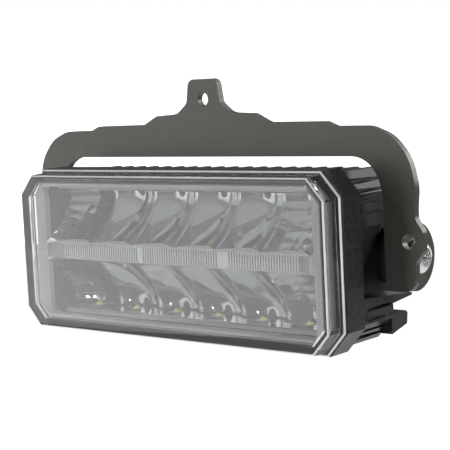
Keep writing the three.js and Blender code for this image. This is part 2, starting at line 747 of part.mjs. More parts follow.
function ventPlug() {
  return turnedY(
    [
      [WALL_BACK - BACK_WALL - 1, 0],
      [WALL_BACK - BACK_WALL - 1, VENT_D / 2 - 1],
      [WALL_BACK - BACK_WALL, VENT_D / 2 - GAP],
      [WALL_BACK, VENT_D / 2 - GAP],
      [WALL_BACK, VENT_D / 2 + 2],
      [WALL_BACK + 3, VENT_D / 2 + 2],
      [WALL_BACK + 4, VENT_D / 2 + 1],
      [WALL_BACK + 4, 0],
    ],
    VENT_X,
    GLAND_Z,
  ).subtract(boreY(1, VENT_X, GLAND_Z, 0, WALL_BACK + 6, 12));
}

addPiece("cable_gland_body", glandBody(), NYLON);
addPiece("cable_gland_nut", glandNut(), NYLON);
addPiece("cable_gland_seal", glandSeal(), SILICONE);
addPiece("vent_plug", ventPlug(), NYLON);

// ---- move the drawing datum to the rear mounting face ------------------------------------
for (const piece of part.children) piece.geometry.translate(0, -PLATE_T, -MOUNT_Z);

export default part;
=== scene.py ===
# %% [markdown]
# # A rectangular fog light on its stamped bracket
# The engineering model is loaded first and never moved. It gives every position and size, and it
# groups the pieces into two bodies: the bracket, and the lamp that tilts on it. Everything that
# follows is finish: finer shapes that stand for some of the engineering solids, and materials.

import math

import bmesh
import bpy
from mathutils import Matrix, Vector


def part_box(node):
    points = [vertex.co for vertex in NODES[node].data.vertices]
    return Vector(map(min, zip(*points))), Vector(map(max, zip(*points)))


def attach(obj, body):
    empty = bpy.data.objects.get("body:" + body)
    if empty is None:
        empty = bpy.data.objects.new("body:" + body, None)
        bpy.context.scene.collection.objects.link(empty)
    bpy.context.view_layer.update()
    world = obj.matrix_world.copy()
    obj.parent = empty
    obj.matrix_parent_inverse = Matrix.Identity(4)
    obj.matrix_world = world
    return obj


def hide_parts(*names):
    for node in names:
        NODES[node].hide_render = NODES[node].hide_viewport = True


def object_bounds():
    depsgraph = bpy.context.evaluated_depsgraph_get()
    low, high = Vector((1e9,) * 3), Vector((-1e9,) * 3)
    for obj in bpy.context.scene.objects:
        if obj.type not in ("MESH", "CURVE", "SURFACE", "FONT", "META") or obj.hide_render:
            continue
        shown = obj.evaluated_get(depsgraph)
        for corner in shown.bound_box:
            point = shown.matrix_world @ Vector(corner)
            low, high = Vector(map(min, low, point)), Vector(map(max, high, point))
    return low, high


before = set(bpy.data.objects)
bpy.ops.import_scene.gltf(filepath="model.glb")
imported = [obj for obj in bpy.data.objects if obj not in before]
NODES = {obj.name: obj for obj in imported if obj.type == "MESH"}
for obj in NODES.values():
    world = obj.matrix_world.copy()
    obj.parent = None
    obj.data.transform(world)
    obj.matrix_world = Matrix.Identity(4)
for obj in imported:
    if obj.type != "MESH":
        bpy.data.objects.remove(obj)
cad_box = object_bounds()
MM = 0.001

# %% [markdown]
# ## Camera
# A product camera stands well back with a long lens, so the far end of the lamp is only a little
# smaller than the near end. The aim is a small step from the middle of the lens, back towards the
# bracket, and the camera leans over slightly.

# %% Camera
lens_lo, lens_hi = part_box("lens")
LENS_MID = (Vector(lens_lo) + Vector(lens_hi)) / 2
AIM_OFFSET = Vector((8.3, 25.05, 9.91)) * MM
AIM = LENS_MID + AIM_OFFSET
AZIMUTH, ELEVATION, LEAN = math.radians(40.02), math.radians(6.11), math.radians(-2.89)
DISTANCE = 0.5406
FOCAL_LENGTH, SENSOR_WIDTH = 108.9, 36.0


def make_camera():
    data = bpy.data.cameras.new("camera")
    data.lens = FOCAL_LENGTH
    data.sensor_width = SENSOR_WIDTH
    data.clip_start, data.clip_end = 0.01, 20
    cam = bpy.data.objects.new("camera", data)
    flat = math.cos(ELEVATION)
    back = Vector((math.sin(AZIMUTH) * flat, -math.cos(AZIMUTH) * flat, math.sin(ELEVATION)))
    cam.location = AIM + back * DISTANCE
    upright = (-back).to_track_quat("-Z", "Y").to_matrix()
    cam.rotation_mode = "QUATERNION"
    cam.rotation_quaternion = (upright @ Matrix.Rotation(LEAN, 3, "Z")).to_quaternion()
    bpy.context.scene.collection.objects.link(cam)
    bpy.context.scene.camera = cam


make_camera()
print("camera aimed at", [round(v, 4) for v in AIM])

# %% [markdown]
# ## Studio
# The backdrop is white and the room in front of the lamp is dim: the walls of the clear lens then
# carry the white, while the mirrors look out into the dark. The floor is a pale sheet well below
# the lamp. Backdrop and floor look whiter to the camera than they light the lamp, which a Light
# Path node allows. A plain white world would be simpler, but it would wash out the mirrors.

# %% Studio
FLOOR_DROP, FLOOR_SIZE = 0.4, 3.0
ROOM_LIGHT, SWEEP_LIGHT = 0.08, 1.5
SWEEP_FADE = (0.45, 0.85)
HORIZON_FADE = (-0.07, 0.03)
FLOOR_GLOW = (0.25, 0.95)


def make_world():
    """A dim room that brightens towards the sweep behind the lamp and below the horizon."""
    world = bpy.data.worlds.new("studio")
    bpy.context.scene.world = world
    world.use_nodes = True
    tree = world.node_tree
    sky = tree.nodes["Background"]
    sky.inputs["Color"].default_value = (1, 1, 1, 1)
    where = tree.nodes.new("ShaderNodeTexCoord")
    bands = []
    behind = (-math.sin(AZIMUTH), math.cos(AZIMUTH), 0)
    for axis, (start, full) in ((behind, SWEEP_FADE), ((0, 0, -1), HORIZON_FADE)):
        along = tree.nodes.new("ShaderNodeVectorMath")
        along.operation = "DOT_PRODUCT"
        along.inputs[1].default_value = axis
        tree.links.new(where.outputs["Generated"], along.inputs[0])
        fade = tree.nodes.new("ShaderNodeMapRange")
        fade.interpolation_type = "SMOOTHSTEP"
        fade.inputs["From Min"].default_value = start
        fade.inputs["From Max"].default_value = full
        tree.links.new(along.outputs["Value"], fade.inputs["Value"])
        bands.append(fade.outputs[0])
    sweep = tree.nodes.new("ShaderNodeMath")
    sweep.operation = "MULTIPLY"
    room = tree.nodes.new("ShaderNodeMapRange")
    room.inputs["To Min"].default_value = ROOM_LIGHT
    room.inputs["To Max"].default_value = SWEEP_LIGHT
    for i, band in enumerate(bands):
        tree.links.new(band, sweep.inputs[i])
    tree.links.new(sweep.outputs[0], room.inputs["Value"])
    seen = tree.nodes.new("ShaderNodeLightPath")
    level = tree.nodes.new("ShaderNodeMath")
    level.operation = "MAXIMUM"
    tree.links.new(room.outputs[0], level.inputs[0])
    tree.links.new(seen.outputs["Is Camera Ray"], level.inputs[1])
    tree.links.new(level.outputs[0], sky.inputs["Strength"])


def make_floor():
    bm = bmesh.new()
    z = cad_box[0].z - FLOOR_DROP
    bmesh.ops.create_grid(bm, x_segments=8, y_segments=8, size=FLOOR_SIZE)
    bmesh.ops.translate(bm, verts=bm.verts, vec=(0, 0, z))
    mesh = bpy.data.meshes.new("floor")
    bm.to_mesh(mesh)
    bm.free()
    floor = bpy.data.objects.new("floor", mesh)
    bpy.context.scene.collection.objects.link(floor)
    mat = bpy.data.materials.new("pale_floor")
    mat.use_nodes = True
    shader = mat.node_tree.nodes["Principled BSDF"]
    shader.inputs["Base Color"].default_value = (0.95, 0.95, 0.95, 1)
    shader.inputs["Roughness"].default_value = 0.9
    shader.inputs["Emission Color"].default_value = (1, 1, 1, 1)
    seen = mat.node_tree.nodes.new("ShaderNodeLightPath")
    level = mat.node_tree.nodes.new("ShaderNodeMapRange")
    level.inputs["To Min"].default_value = FLOOR_GLOW[0]
    level.inputs["To Max"].default_value = FLOOR_GLOW[1]
    mat.node_tree.links.new(seen.outputs["Is Camera Ray"], level.inputs["Value"])
    mat.node_tree.links.new(level.outputs[0], shader.inputs["Emission Strength"])
    mesh.materials.append(mat)


make_world()
make_floor()
print("floor at", round(cad_box[0].z - FLOOR_DROP, 3))

# %% [markdown]
# ## Lights
# Glossy black parts show little but what they reflect, so each light is a rectangle placed where a
# surface mirrors it. The front left box shows in the lens, and on the mirrors near the LEDs. The
# right strip and right box shape the side of the housing, the back box lights the cooling fins,
# and the spark is a small lamp whose reflections are points.

# %% Lights
def make_light(name, place, size, power):
    """A rectangular soft light at a place, in metres, that faces the middle of the lens."""
    data = bpy.data.lights.new(name, "AREA")
    data.shape = "RECTANGLE"
    data.size, data.size_y = size
    data.energy = power
    light = bpy.data.objects.new(name, data)
    light.location = place
    light.rotation_mode = "QUATERNION"
    light.rotation_quaternion = (LENS_MID - Vector(place)).to_track_quat("-Z", "Y")
    bpy.context.scene.collection.objects.link(light)


make_light("top_box", (-0.1, -0.1, 0.8), (0.8, 0.4), 1.6)
make_light("left_box", (-0.51, -0.54, 0.05), (0.7, 0.72), 2.4)
make_light("right_strip", (0.8, -0.62, 0.1), (0.1, 0.8), 1.6)
make_light("right_box", (0.46, 0.84, 0.3), (0.5, 0.5), 4.6)
make_light("spark", (0.18, -0.95, 0.3), (0.07, 0.07), 0.9)
make_light("back_box", (0.1, 0.85, 0.72), (0.9, 0.35), 1.8)
bpy.context.scene.view_settings.view_transform = "Standard"

# %% [markdown]
# ## Shape helpers
# Most of the lamp is one idea repeated: a rectangle with its four corners cut, grown or shrunk
# and set at some depth. Lofting such rings gives a shell with real bevels on it, where cutting
# blocks out of blocks would leave knife edges.

# %% Shape helpers
LENS_W, LENS_H = 156.0, 63.6
CUT_X, CUT_Z = 7.0, 8.0
CORNER_ROUND, CORNER_STEPS = 0.6, 3


def cut_corner_ring(offset):
    """Points (x, z) in mm, about the lamp's middle, of the lamp outline grown by an offset."""
    w, h = LENS_W / 2 + offset, LENS_H / 2 + offset
    lean = math.hypot(CUT_X, CUT_Z)
    cx = CUT_X + offset * (1 + CUT_X / CUT_Z - lean / CUT_Z)
    cz = CUT_Z + offset * (1 + CUT_Z / CUT_X - lean / CUT_X)
    eight = [(w, -h + cz), (w, h - cz), (w - cx, h), (-w + cx, h)]
    eight += [(-x, -z) for x, z in eight]
    return soften(eight, CORNER_ROUND)


def soften(points, radius):
    """The same closed outline with each corner rounded; slerp gives directions of length one."""
    out = []
    for i, p in enumerate(points):
        p = Vector(p)
        a = (Vector(points[i - 1]) - p).normalized()
        b = (Vector(points[(i + 1) % len(points)]) - p).normalized()
        half = a.angle(b) / 2
        reach = radius / math.tan(half)
        centre = p + (a + b).normalized() * (radius / math.sin(half))
        start, end = p + a * reach - centre, p + b * reach - centre
        for k in range(CORNER_STEPS + 1):
            out.append(tuple(centre + start.slerp(end, k / CORNER_STEPS) * radius))
    return out


print("one outline ring has", len(cut_corner_ring(0)), "points")

# %% [markdown]
# ## From points to a piece
# Every finer shape is built as a bmesh, then becomes an object that rides on its body and hides
# the engineering nodes it stands for. Rings of points are the common currency: two rings of equal
# count are bridged with a strip of quads.

# %% From points to a piece
def new_piece(name, bm, body, replaced=(), smooth=35):
    """Turns a bmesh into an object that rides on a body and may stand for engineering nodes."""
    bmesh.ops.recalc_face_normals(bm, faces=bm.faces)
    mesh = bpy.data.meshes.new(name)
    bm.to_mesh(mesh)
    bm.free()
    obj = bpy.data.objects.new(name, mesh)
    bpy.context.scene.collection.objects.link(obj)
    if smooth:
        mesh.shade_smooth()
        mesh.set_sharp_from_angle(angle=math.radians(smooth))
    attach(obj, body)
    if replaced:
        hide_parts(*replaced)
    return obj


def ring_verts(bm, points, y):
    """Vertices at depth y for outline points (x, z), all in mm about the lamp's middle."""
    return [bm.verts.new((x * MM, y * MM, LENS_MID.z + z * MM)) for x, z in points]


def bridge(bm, a, b):
    """A closed strip of quads between two rings with the same count of vertices."""
    n = len(a)
    for i in range(n):
        bm.faces.new((a[i], a[(i + 1) % n], b[(i + 1) % n], b[i]))


def loft(profile):
    """A solid through rings of the lamp outline, capped at both ends: rows of (offset, depth)."""
    bm = bmesh.new()
    rings = [ring_verts(bm, cut_corner_ring(o), y) for o, y in profile]
    for a, b in zip(rings, rings[1:]):
        bridge(bm, a, b)
    bm.faces.new(rings[0])
    bm.faces.new(rings[-1])
    return bm


# %% [markdown]
# ## Shared surface effects
# Some effects turn up on many finishes, so each is a node group made once. A group hands out masks
# and heights only; each material mixes them its own way. These helpers start a group and place the
# two nodes that every effect needs: arithmetic, and noise that is fixed to the object.

# %% Group helpers
def group_with(name, inputs, outputs):
    """A new shader group with named number inputs and outputs, and its two end nodes."""
    group = bpy.data.node_groups.new(name, "ShaderNodeTree")
    for label, value in inputs:
        s = group.interface.new_socket(label, in_out="INPUT", socket_type="NodeSocketFloat")
        s.default_value = value
    for label in outputs:
        group.interface.new_socket(label, in_out="OUTPUT", socket_type="NodeSocketFloat")
    start = group.nodes.new("NodeGroupInput")
    end = group.nodes.new("NodeGroupOutput")
    return group, start, end


def math_node(tree, kind, a, b=None, clamp=False):
    """One Math node; a and b are numbers or sockets."""
    n = tree.nodes.new("ShaderNodeMath")
    n.operation = kind
    n.use_clamp = clamp
    for i, v in enumerate((a, b)):
        if v is None:
            continue
        if isinstance(v, (int, float)):
            n.inputs[i].default_value = v
        else:
            tree.links.new(v, n.inputs[i])
    return n.outputs[0]


def noise_node(tree, scale, detail=2.0, rough=0.5):
    """Noise in object space; the scale is a number or a socket."""
    where = tree.nodes.new("ShaderNodeTexCoord")
    n = tree.nodes.new("ShaderNodeTexNoise")
    n.inputs["Detail"].default_value = detail
    n.inputs["Roughness"].default_value = rough
    if isinstance(scale, (int, float)):
        n.inputs["Scale"].default_value = scale
    else:
        tree.links.new(scale, n.inputs["Scale"])
    tree.links.new(where.outputs["Object"], n.inputs["Vector"])
    return n.outputs["Fac"]


# %% [markdown]
# ## Grain and orange peel
# Moulded plastic has a fine grain, and coats also drift a little in tone over some centimetres.
# Powder coat is different: it melts and levels, but not quite, and keeps a shallow rounded ripple.

# %% Grain and orange peel
def make_grain():
    group, start, end = group_with("fine_grain", [("Scale", 2500.0)], ["Height", "Patches"])
    grain = noise_node(group, start.outputs["Scale"], 3.0, 0.6)
    group.links.new(grain, end.inputs["Height"])
    group.links.new(noise_node(group, 45.0, 3.0, 0.55), end.inputs["Patches"])
    return group


def make_peel():
    """The shallow, rounded ripple that powder coat keeps when it has flowed and set."""
    group, start, end = group_with("orange_peel", [("Size", 900.0)], ["Height"])
    broad = noise_node(group, start.outputs["Size"], 1.0, 0.4)
    fine = noise_node(group, math_node(group, "MULTIPLY", start.outputs["Size"], 3.1), 2.0, 0.5)
    mixed = math_node(group, "ADD", broad, math_node(group, "MULTIPLY", fine, 0.3))
    group.links.new(mixed, end.inputs["Height"])
    return group


GRAIN, PEEL = make_grain(), make_peel()
RELIEF = {"peel": PEEL}
print("groups:", GRAIN.name, PEEL.name)

# %% [markdown]
# ## Wear, dust and scratches
# Coats wear through first on convex edges, dust settles on what faces up, and handling leaves
# sparse hairlines. Pointiness finds the edges, the world normal finds what faces up, and noise
# breaks both so they never look even.

# %% Wear, dust and scratches
def make_wear():
    group, start, end = group_with("edge_wear", [("Amount", 0.5)], ["Mask"])
    shape = group.nodes.new("ShaderNodeNewGeometry")
    edge = group.nodes.new("ShaderNodeMapRange")
    edge.inputs["From Min"].default_value = 0.52
    edge.inputs["From Max"].default_value = 0.62
    group.links.new(shape.outputs["Pointiness"], edge.inputs["Value"])
    broken = math_node(group, "MULTIPLY", edge.outputs[0], noise_node(group, 400.0, 4.0, 0.6))
    worn = math_node(group, "MULTIPLY", broken, start.outputs["Amount"], True)
    group.links.new(worn, end.inputs["Mask"])
    return group


def make_dust():
    group, start, end = group_with("dust", [("Amount", 0.2)], ["Mask"])
    shape = group.nodes.new("ShaderNodeNewGeometry")
    split = group.nodes.new("ShaderNodeSeparateXYZ")
    group.links.new(shape.outputs["Normal"], split.inputs[0])
    upward = math_node(group, "POWER", math_node(group, "MAXIMUM", split.outputs["Z"], 0.0), 2.0)
    specks = math_node(group, "MULTIPLY", upward, noise_node(group, 160.0, 5.0, 0.7))
    dusty = math_node(group, "MULTIPLY", specks, start.outputs["Amount"], True)
    group.links.new(dusty, end.inputs["Mask"])
    return group


def make_scratches():
    """Sparse hairlines: noise stretched hard along one direction, kept only at its peaks."""
    group, start, end = group_with("scratches", [("Amount", 0.5)], ["Mask"])
    where = group.nodes.new("ShaderNodeTexCoord")
    marks = []
    for turn, stretch in ((0.5, (60.0, 900.0, 2600.0)), (-0.9, (40.0, 2200.0, 900.0))):
        place = group.nodes.new("ShaderNodeMapping")
        place.inputs["Rotation"].default_value = (turn, turn, turn * 0.6)
        place.inputs["Scale"].default_value = stretch
        line = group.nodes.new("ShaderNodeTexNoise")
        line.inputs["Scale"].default_value = 1.0
        line.inputs["Detail"].default_value = 1.0
        group.links.new(where.outputs["Object"], place.inputs["Vector"])
        group.links.new(place.outputs[0], line.inputs["Vector"])
        peak = group.nodes.new("ShaderNodeMapRange")
        peak.inputs["From Min"].default_value = 0.68
        peak.inputs["From Max"].default_value = 0.76
        group.links.new(line.outputs["Fac"], peak.inputs["Value"])
        marks.append(peak.outputs[0])
    both = math_node(group, "MAXIMUM", *marks)
    faint = math_node(group, "MULTIPLY", both, start.outputs["Amount"], True)
    group.links.new(faint, end.inputs["Mask"])
    return group


WEAR, DUST, SCRATCHES = make_wear(), make_dust(), make_scratches()
print("groups:", WEAR.name, DUST.name, SCRATCHES.name)

# %% [markdown]
# ## Turned rings
# The screw heads and washers are faced on a lathe, which leaves fine rings round the pivot. The
# distance from the pivot's axis drives a sine wave, and noise breaks the rings here and there.

# %% Turned rings
PIVOT = [(a + b) / 2 for a, b in zip(*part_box("pivot_washer_right"))]


def make_turned():
    """Rings left by a lathe, round an axis that runs along X through the pivot."""
    group, start, end = group_with("turned_rings", [("Pitch", 6000.0)], ["Height"])
    where = group.nodes.new("ShaderNodeTexCoord")
    middle = group.nodes.new("ShaderNodeMapping")
    middle.inputs["Location"].default_value = (0, -PIVOT[1], -PIVOT[2])
    middle.inputs["Scale"].default_value = (0, 1, 1)
    length = group.nodes.new("ShaderNodeVectorMath")
    length.operation = "LENGTH"
    group.links.new(where.outputs["Object"], middle.inputs["Vector"])
    group.links.new(middle.outputs[0], length.inputs[0])
    ring = math_node(group, "SINE", math_node(group, "MULTIPLY", length.outputs["Value"],
                                              start.outputs["Pitch"]))
    broken = math_node(group, "MULTIPLY", ring, noise_node(group, 900.0, 2.0))
    group.links.new(broken, end.inputs["Height"])
    return group


RELIEF["turned"] = make_turned()
print("relief groups:", ", ".join(RELIEF))

# %% [markdown]
# ## Node helpers
# A finish is wired from a few small moves: place a group with its own values, mix two colours by a
# mask, and stretch a mask to a range of numbers.

# %% Node helpers
COLOR_A, COLOR_B, COLOR_OUT = 6, 7, 2


def use_group(tree, group, **values):
    """Places a shared group in a material with this material's own numbers."""
    n = tree.nodes.new("ShaderNodeGroup")
    n.node_tree = group
    for key, v in values.items():
        n.inputs[key].default_value = v
    return n


def mix_color(tree, mask, a, b):
    """Colour a where the mask is 0 and b where it is 1; each is an RGB tuple or a socket."""
    n = tree.nodes.new("ShaderNodeMix")
    n.data_type = "RGBA"
    tree.links.new(mask, n.inputs["Factor"])
    for socket, v in ((n.inputs[COLOR_A], a), (n.inputs[COLOR_B], b)):
        if isinstance(v, tuple):
            socket.default_value = (*v, 1)
        else:
            tree.links.new(v, socket)
    return n.outputs[COLOR_OUT]


def map_range(tree, value, low, high):
    """Stretches a mask from 0..1 to low..high."""
    n = tree.nodes.new("ShaderNodeMapRange")
    n.inputs["To Min"].default_value = low
    n.inputs["To Max"].default_value = high
    tree.links.new(value, n.inputs["Value"])
    return n.outputs[0]


# %% [markdown]
# ## Solid finishes
# One recipe covers the coated, moulded and plated finishes: a base colour that drifts a little,
# paler where edges are worn and where dust lies, a roughness that varies with the same patches and
# a bump from the grain, the orange peel or the turned rings. Two tones and a roughness range are
# given for each, so no surface is one flat colour.

# %% Solid finish recipe
DUST_COLOR = (0.42, 0.41, 0.38)
SCRATCH_ROUGHNESS = 0.2


def solid_finish(name, dark, light, rough, metal=0.0, bump=0.05, wear=0.0,
                 worn=(0.3, 0.3, 0.3), dust=0.1, coat=0.0, specular=0.5, tint=(1, 1, 1),
                 glow=0.0, scratch=0.0, relief="grain", depth=0.05):
    """An opaque finish; depth is the height of the relief in mm, tint colours the gloss."""
    mat = bpy.data.materials.new(name)
    mat.use_nodes = True
    tree = mat.node_tree
    shader = tree.nodes["Principled BSDF"]
    g = use_group(tree, GRAIN)
    color = mix_color(tree, g.outputs["Patches"], dark, light)
    if wear:
        color = mix_color(tree, use_group(tree, WEAR, Amount=wear).outputs["Mask"], color, worn)
    rough_out = map_range(tree, g.outputs["Patches"], *rough)
    if scratch:
        lines = use_group(tree, SCRATCHES, Amount=scratch).outputs["Mask"]
        color = mix_color(tree, lines, color, worn)
        rougher = math_node(tree, "MULTIPLY", lines, SCRATCH_ROUGHNESS)
        rough_out = math_node(tree, "ADD", rough_out, rougher)
    if dust:
        mask = use_group(tree, DUST, Amount=dust).outputs["Mask"]
        color = mix_color(tree, mask, color, DUST_COLOR)
    tree.links.new(color, shader.inputs["Base Color"])
    tree.links.new(rough_out, shader.inputs["Roughness"])
    shader.inputs["Metallic"].default_value = metal
    shader.inputs["Specular IOR Level"].default_value = specular
    shader.inputs["Specular Tint"].default_value = (*tint, 1)
    shader.inputs["Coat Weight"].default_value = coat
    # glow is a painted glow in the finish's own colour
    if glow:
        tree.links.new(color, shader.inputs["Emission Color"])
        shader.inputs["Emission Strength"].default_value = glow
    if bump:
        b = tree.nodes.new("ShaderNodeBump")
        b.inputs["Strength"].default_value = bump
        b.inputs["Distance"].default_value = depth * MM
        source = use_group(tree, RELIEF[relief]) if relief in RELIEF else g
        tree.links.new(source.outputs["Height"], b.inputs["Height"])
        tree.links.new(b.outputs["Normal"], shader.inputs["Normal"])
    return mat


# %% [markdown]
# ## Clear finishes
# Light passes through the lens, the light guide and the LED domes, so they take a shader with
# transmission. The cut edges and the guide are given a small, even painted glow, as if they
# gathered light inside the plastic, and the phosphor is given the same painted glow.

# %% Clear finish recipe
def clear_finish(name, tint, other_tint, rough, ior, transmission, glow=0.0):
    """A clear finish whose tint and polish drift between two values."""
    mat = bpy.data.materials.new(name)
    mat.use_nodes = True
    tree = mat.node_tree
    shader = tree.nodes["Principled BSDF"]
    g = use_group(tree, GRAIN)
    color = mix_color(tree, g.outputs["Patches"], tint, other_tint)
    tree.links.new(color, shader.inputs["Base Color"])
    tree.links.new(map_range(tree, g.outputs["Patches"], *rough), shader.inputs["Roughness"])
    shader.inputs["IOR"].default_value = ior
    shader.inputs["Transmission Weight"].default_value = transmission
    shader.inputs["Emission Color"].default_value = (1, 1, 1, 1)
    shader.inputs["Emission Strength"].default_value = glow
    return mat


# %% [markdown]
# ## The finishes of this lamp
# Black powder coat on the sheet bracket, a finer and glossier coat on the casting, black nylon,
# mirror coat, grey trim, stainless and brass for the fasteners, solder-masked boards, and the
# clear plastics. The mirror is set darker than new aluminium coating. That is a choice of look.

# %% Table of finishes
FINISH = {
    "bracket": solid_finish("bracket_powder_coat", (0.026, 0.027, 0.022), (0.036, 0.037, 0.031),
                            (0.34, 0.44), bump=0.35, wear=0.3, dust=0.05, scratch=0.06,
                            relief="peel", depth=0.08, specular=0.8, tint=(0.95, 0.98, 0.88)),
    "housing": solid_finish("housing_coat", (0.008, 0.009, 0.0085), (0.014, 0.015, 0.0145),
                            (0.24, 0.33), bump=0.2, wear=0.25, dust=0.02, specular=0.3,
                            relief="peel", depth=0.06),
    "nylon": solid_finish("black_nylon", (0.015, 0.015, 0.015), (0.024, 0.024, 0.024),
                          (0.5, 0.62), bump=0.12, dust=0.1),
    "silicone": solid_finish("silicone", (0.012, 0.012, 0.012), (0.02, 0.02, 0.02), (0.7, 0.82)),
    "mirror": solid_finish("mirror_coat", (0.5, 0.51, 0.51), (0.57, 0.58, 0.58), (0.02, 0.05),
                           metal=1.0, bump=0.0, dust=0.0),
    "trim": solid_finish("grey_trim", (0.6, 0.6, 0.6), (0.66, 0.66, 0.66), (0.45, 0.55),
                         bump=0.05, dust=0.0),
    "board": solid_finish("green_board", (0.02, 0.07, 0.035), (0.03, 0.1, 0.05), (0.35, 0.5)),
    "white_board": solid_finish("white_board", (0.62, 0.63, 0.61), (0.72, 0.73, 0.7), (0.35, 0.5)),
    "stainless": solid_finish("stainless", (0.72, 0.72, 0.71), (0.8, 0.8, 0.79), (0.16, 0.26),
                              metal=1.0, bump=0.25, dust=0.05, scratch=0.2, relief="turned",
                              worn=(0.5, 0.5, 0.5)),
    "brass": solid_finish("turned_brass", (0.6, 0.44, 0.18), (0.68, 0.52, 0.24), (0.2, 0.32),
                          metal=1.0, dust=0.0),
    # the yellow is the phosphor's own colour; its glow is a painted glow
    "phosphor": solid_finish("phosphor", (0.88, 0.8, 0.1), (0.96, 0.9, 0.2), (0.25, 0.4),
                             bump=0.02, dust=0.0, coat=0.6, glow=0.25),
    "lens": clear_finish("clear_lens", (0.97, 0.98, 0.98), (0.94, 0.95, 0.96), (0.0, 0.02), 1.52,
                         0.97),
    # faint pink and green tints: a painted rainbow sheen standing for a hard coat's iridescence
    "lens_face": clear_finish("hard_coated_face_painted_sheen", (0.99, 0.93, 0.96), (0.91, 0.98, 0.95),
                              (0.0, 0.008), 1.5, 0.93),
    # polished cut edges with a small painted glow that makes them look white
    "lens_edge": clear_finish("polished_edge_painted_glow", (1.0, 1.0, 1.0), (0.93, 0.95, 0.97), (0.1, 0.25),
                              1.52, 0.3, glow=0.12),
    # the light guide, and the mirror ledges that share this finish, carry a small painted glow
    "guide": clear_finish("light_guide", (0.96, 0.97, 0.98), (0.92, 0.94, 0.95), (0.03, 0.08),
                          1.49, 0.35, glow=0.04),
    # darker tint: painted shade on the groove walls, also used on the end blocks
    "groove": clear_finish("light_guide_groove_shade", (0.28, 0.28, 0.28), (0.22, 0.22, 0.22),
                           (0.1, 0.2), 1.49, 0.2),
    "dome": clear_finish("led_dome", (0.98, 0.98, 0.95), (0.95, 0.95, 0.92), (0.02, 0.06), 1.41,
                         0.95),
}
print("finishes:", ", ".join(FINISH))


# %% [markdown]
# ## Painting the engineering pieces
# A node's name says what it is, so a table from the start of a name to a finish paints them all.

# %% Paint the nodes
def paint(obj, finish):
    """Puts a finish in the first slot; faces that point at a later slot keep doing so."""
    slots = obj.data.materials
    if slots:
        slots[0] = FINISH[finish]
    else:
        slots.append(FINISH[finish])


NODE_FINISH = {
    "bracket_plate": "bracket", "housing": "housing", "lens": "lens", "lens_seal": "silicone",
    "reflector": "mirror", "light_bar_board": "white_board", "light_bar_carrier": "nylon",
    "light_bar": "guide", "trim_frame": "trim", "led_board": "white_board", "led_": "phosphor",
    "driver_board": "board", "pivot_screw": "stainless", "pivot_washer": "stainless",
    "pivot_spacer": "nylon", "pivot_insert": "brass", "cable_gland_seal": "silicone",
    "cable_gland": "nylon", "vent": "nylon",
}


def paint_nodes():
    """Each node takes the finish whose key is the longest start of its name."""
    for name, obj in NODES.items():
        key = max((k for k in NODE_FINISH if name.startswith(k)), key=len)
        paint(obj, NODE_FINISH[key])


paint_nodes()
print("painted", len(NODES), "nodes")

# %% [markdown]
# ## Lens
# The cover is one moulding of clear plastic: a flat face with a fine bevel, a wall that leans out
# a little towards the back, and a foot that sits on the housing rim. It is lofted as a thick shell,
# outside and inside, so light bends in its walls as it does in the real moulding.

# %% Lens
FACE = lens_lo[1] / MM
RIM = lens_hi[1] / MM
WALL = 3.0
FOOT = 1.6
HARD_COAT, BRIGHT_EDGE = 1, 2


def make_lens():
    """Rings from the front face down the outside, round the foot, and back up the inside."""
    outside = [(-1.5, FACE), (-0.7, FACE + 0.15), (-0.15, FACE + 0.7), (0.0, FACE + 1.4)]
    outside += [(0.25, RIM - 2.3), (0.5, RIM - 1.8), (1.0, RIM - 1.65), (FOOT, RIM - 1.1)]
    outside += [(FOOT, RIM)]
    inside = [(-WALL + 0.3, RIM), (-WALL, FACE + WALL + 0.9), (-WALL - 0.5, FACE + WALL + 0.2)]
    inside += [(-WALL - 1.4, FACE + WALL)]
    return new_piece("lens_cover", loft(outside + inside), "lamp", ["lens"], 25)


def add_hard_coat_sheen(lens):
    """A finish for both faces of the front wall; its two faint colours are a painted rainbow sheen
    of a hard coat.
    """
    lens.data.materials.append(FINISH["lens_face"])
    for face in lens.data.polygons:
        if face.center.y < (FACE + WALL + 0.1) * MM and abs(face.normal.y) > 0.9:
            face.material_index = HARD_COAT


def paint_edge_glow(lens, depths):
    """Bevels between two depths take a finish with a small painted glow, so they look white."""
    lens.data.materials.append(FINISH["lens_edge"])
    for face in lens.data.polygons:
        depth = face.center.y / MM
        if any(low < depth < high for low, high in depths) and 0.25 < abs(face.normal.y) < 0.97:
            face.material_index = BRIGHT_EDGE


lens_cover = make_lens()
paint(lens_cover, "lens")
add_hard_coat_sheen(lens_cover)
paint_edge_glow(lens_cover, [(RIM - 1.6, RIM - 1.2), (FACE + 0.05, FACE + 0.5)])
print("lens face at", FACE, "foot at", RIM)

# %% [markdown]
# ## Trim frame
# A grey moulded frame hides the gap between mirrors and housing. Its face leans inwards, so it
# shows a soft shade from edge to edge. It is lofted from a cut-corner ring to a rectangle whose
# corners are nearly plain, and then given a wall.

# %% Trim frame
trim_lo, trim_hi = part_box("trim_frame")
OPEN_W, OPEN_H = LENS_W / 2 - 9.3, LENS_H / 2 - 5.1
TRIM_CUT, TRIM_ROUND, TRIM_WALL = 0.9, 0.3, 0.5


def rect_ring(grow):
    """The trim's opening, grown by an offset, with as many points as the lamp outline."""
    w, h = OPEN_W + grow, OPEN_H + grow
    eight = [(w, -h + TRIM_CUT), (w, h - TRIM_CUT), (w - TRIM_CUT, h), (-w + TRIM_CUT, h)]
    eight += [(-x, -z) for x, z in eight]
    return soften(eight, TRIM_ROUND)


def add_wall(obj, thickness, offset):
    """Gives a surface a wall, in mm; offset -1 grows it inwards and 0 both ways."""
    wall = obj.modifiers.new("wall", "SOLIDIFY")
    wall.thickness = thickness * MM
    wall.offset = offset


